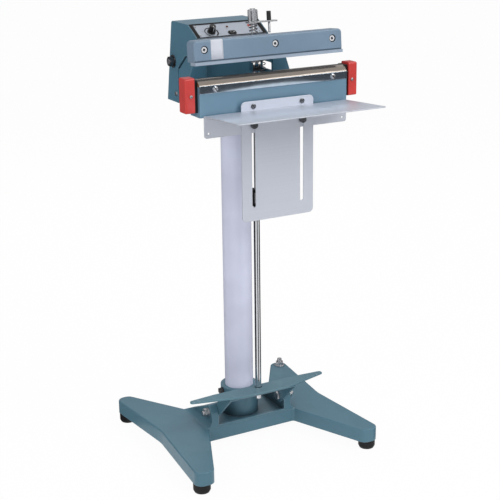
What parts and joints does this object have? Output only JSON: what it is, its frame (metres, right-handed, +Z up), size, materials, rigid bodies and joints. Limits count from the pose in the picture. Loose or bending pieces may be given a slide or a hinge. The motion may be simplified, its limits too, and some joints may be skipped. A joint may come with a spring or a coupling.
{
  "type": "foot-operated impulse heat sealer",
  "caption": "Pedestal impulse heat sealer: a foot pedal pulls a rod that closes a padded upper jaw on a heated lower jaw above a sliding bag shelf.",
  "frame": {"origin": "on the floor under the middle of the whole machine", "axes": "+X to the operator's right, +Y to the rear, +Z up; the jaws' front faces -Y"},
  "size_m": [0.4346, 0.5044, 0.939],
  "materials": {
    "blue_paint": "semi-gloss blue-grey enamel",
    "column_paint": "smooth pale lavender-white enamel",
    "sheet_steel": "bright finely brushed stainless sheet",
    "bright_chrome": "polished chrome plate",
    "zinc_steel": "zinc-plated fasteners and springs",
    "black_steel": "blackened steel",
    "red_plastic": "smooth red moulding",
    "black_rubber": "matt black rubber",
    "pad_silicone": "pale heat-proof silicone",
    "seal_cloth": "pale non-stick glass cloth",
    "insulating_board": "brown laminated insulator",
    "panel_metal": "satin anodised plate",
    "black_plastic": "black moulding",
    "circuit_board": "green board",
    "amber_lens": "amber lens",
    "red_lens": "red lens",
    "core_iron": "varnished laminations"
  },
  "bodies": {
    "stand": {"base_casting": "blue_paint", "head_frame": "blue_paint", "control_cover": "blue_paint", "front_cover": "blue_paint", "lower_jaw": "blue_paint", "jaw_supports": "blue_paint", "column_tube": "column_paint", "bag_apron": "sheet_steel", "clamp_strip": "bright_chrome", "arm_pivot_shaft": "bright_chrome", "levelling_bolt": "zinc_steel", "pedal_pivot_bolts": "zinc_steel", "pedal_pivot_nuts": "zinc_steel", "cover_screws": "zinc_steel", "pivot_nuts": "zinc_steel", "pivot_spacers": "zinc_steel", "panel_screws": "zinc_steel", "jaw_screws_small": "zinc_steel", "apron_spacers": "zinc_steel", "apron_screws": "zinc_steel", "spring_bracket": "zinc_steel", "return_spring": "zinc_steel", "heating_ribbon": "zinc_steel", "column_bolts": "black_steel", "end_cap_left": "red_plastic", "end_cap_right": "red_plastic", "rubber_feet": "black_rubber", "panel_gasket": "black_rubber", "seal_skin": "seal_cloth", "jaw_crown": "insulating_board", "control_panel": "panel_metal", "switch_bezel": "black_plastic", "cable_gland": "black_plastic", "end_insulators": "black_plastic", "timer_board": "circuit_board", "power_lamp": "amber_lens", "heat_lamp": "red_lens", "transformer": "core_iron"},
    "press_arm": {"arm_frame": "blue_paint", "upper_jaw": "blue_paint", "silicone_strip": "pad_silicone", "jaw_screws": "zinc_steel", "microswitch": "black_plastic", "pressure_spring": "zinc_steel"},
    "plunger": {"pressure_stud": "bright_chrome", "stop_bar": "bright_chrome"},
    "pressure_knob_body": {"pressure_knob": "bright_chrome"},
    "stop_screw_body": {"stop_screw": "black_steel"},
    "pull_linkage": {"pull_rod": "bright_chrome", "rod_nut": "zinc_steel", "turnbuckle": "bright_chrome", "rod_fork": "bright_chrome", "fork_pin": "bright_chrome"},
    "pedal": {"pedal_plate": "blue_paint", "pedal_yoke": "blue_paint"},
    "shelf": {"work_shelf": "sheet_steel", "clamp_screws": "black_steel", "clamp_nuts": "zinc_steel"},
    "timer_knob_body": {"timer_knob": "black_plastic"},
    "rocker_body": {"power_rocker": "black_plastic"}
  },
  "joints": [
    {"name": "arm_hinge", "type": "hinge", "parent": "stand", "child": "press_arm", "pos_m": [0, 0.18118, 0.816], "axis": [1, 0, 0], "range_deg": [0, 5], "stiffness_Nm_per_rad": 36, "springref_deg": -31.51, "deforming": ["return_spring"]},
    {"name": "plunger_slide", "type": "slide", "parent": "press_arm", "child": "plunger", "axis": [0, 0.0872, 0.9962], "range_m": [-0.004, 0], "stiffness_N_per_m": 4000, "springref_m": 0.01, "deforming": ["pressure_spring"]},
    {"name": "pressure_knob_turn", "type": "hinge", "parent": "plunger", "child": "pressure_knob_body", "pos_m": [0, -0.01707, 0.91365], "axis": [0, 0.0872, 0.9962], "continuous": true},
    {"name": "stop_screw_turn", "type": "hinge", "parent": "plunger", "child": "stop_screw_body", "pos_m": [0.036, -0.01707, 0.91365], "axis": [0, 0.0872, 0.9962], "continuous": true},
    {"name": "rod_hinge", "type": "hinge", "parent": "plunger", "child": "pull_linkage", "pos_m": [0, -0.02369, 0.83794], "axis": [1, 0, 0], "range_deg": [-5.95, 0]},
    {"name": "pedal_hinge", "type": "hinge", "parent": "stand", "child": "pedal", "pos_m": [0, 0.02418, 0.081], "axis": [1, 0, 0], "range_deg": [0, 15.1]},
    {"name": "shelf_slide", "type": "slide", "parent": "stand", "child": "shelf", "axis": [0, 0, 1], "range_m": [-0.15, 0]},
    {"name": "timer_turn", "type": "hinge", "parent": "stand", "child": "timer_knob_body", "pos_m": [-0.0406, 0.08352, 0.88511], "axis": [0, -0.4894, 0.8721], "range_deg": [-270, 0]},
    {"name": "power_rock", "type": "hinge", "parent": "stand", "child": "rocker_body", "pos_m": [0.0037, 0.07903, 0.878], "axis": [0, 0.8721, 0.4894], "range_deg": [-6, 6]}
  ],
  "couplings": [
    {"joint": "rod_hinge", "follows": "arm_hinge", "ratio": -1.19},
    {"joint": "pedal_hinge", "follows": "arm_hinge", "ratio": 3.02}
  ]
}
